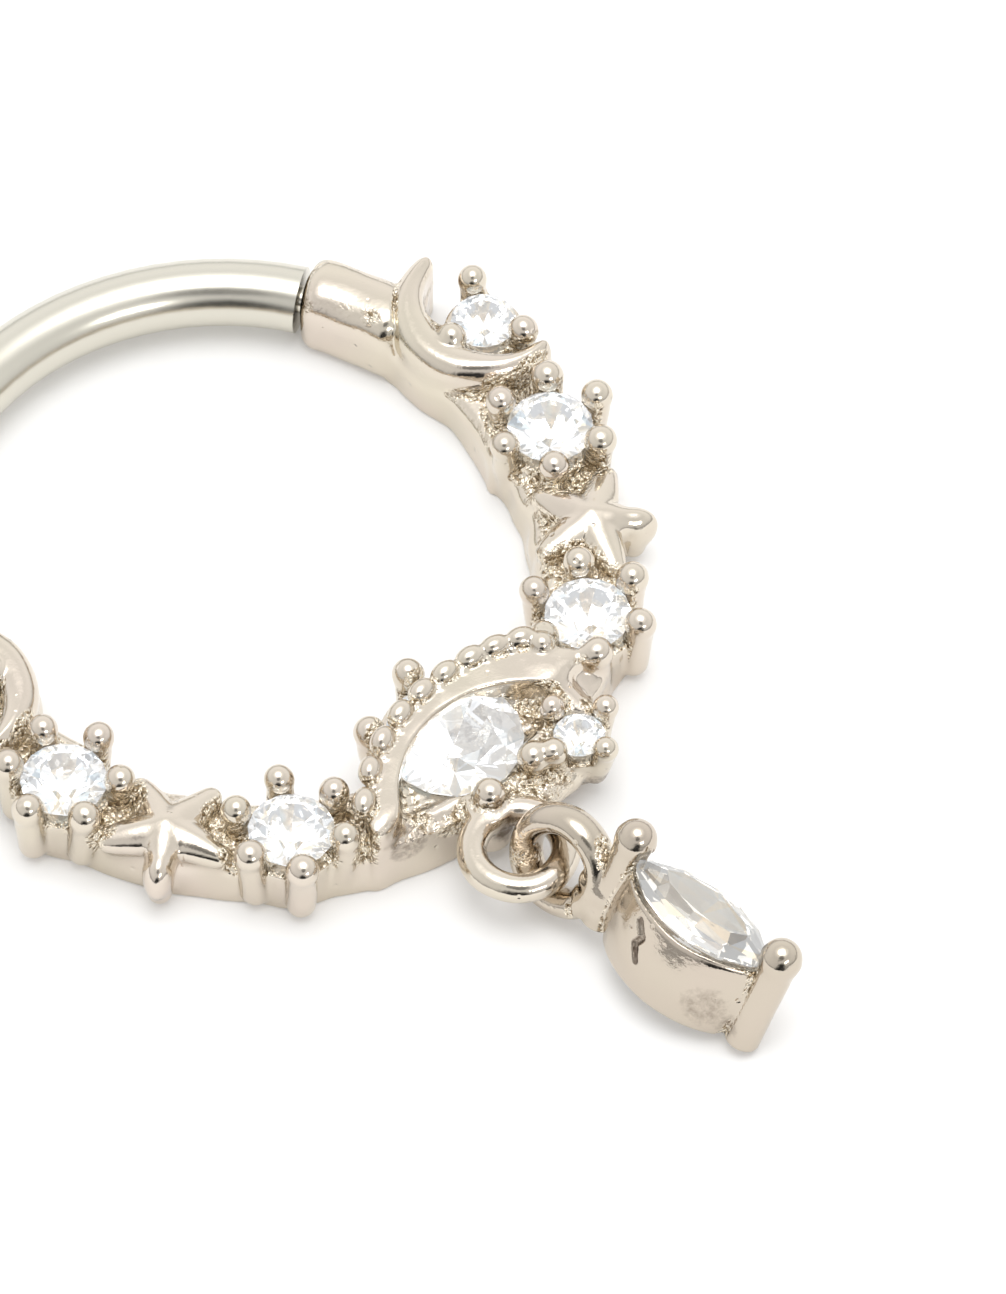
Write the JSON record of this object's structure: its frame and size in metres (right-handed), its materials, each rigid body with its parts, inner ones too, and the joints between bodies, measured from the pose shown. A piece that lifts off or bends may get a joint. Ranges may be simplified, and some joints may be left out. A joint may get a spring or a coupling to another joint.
{
  "type": "hinged clicker ring with a celestial front and a marquise drop",
  "caption": "Body-jewellery clicker ring: a plain round bar hinged to a cast front with moons, stars, an eye and set stones, and a small marquise drop.",
  "frame": {"origin": "centre of the bar's circle, on the plane that the ring's flat back lies on", "axes": "+Z out of the decorated face, -Y towards the eye and the drop, +X towards the socket end of the bar"},
  "size_m": [0.014, 0.0202, 0.0027],
  "materials": {
    "cast_metal": "polished silver-tone plated casting, grainy in its recesses",
    "bar_steel": "smooth polished surgical steel",
    "stone": "clear cut cubic zirconia"
  },
  "bodies": {
    "front": {"cast_front": "cast_metal", "hinge_pin": "bar_steel", "row_stone_1": "stone", "row_stone_2": "stone", "row_stone_3": "stone", "row_stone_4": "stone", "moon_stone_1": "stone", "moon_stone_2": "stone", "eye_stone": "stone", "side_stone": "stone", "drop_setting": "cast_metal", "drop_stone": "stone"},
    "bar": {"bar": "bar_steel"}
  },
  "joints": [
    {"name": "bar_swing", "type": "hinge", "parent": "front", "child": "bar", "pos_m": [-0.00494, 0.00241, 0.00075], "axis": [0, 0, 1], "range_deg": [0, 90]}
  ]
}
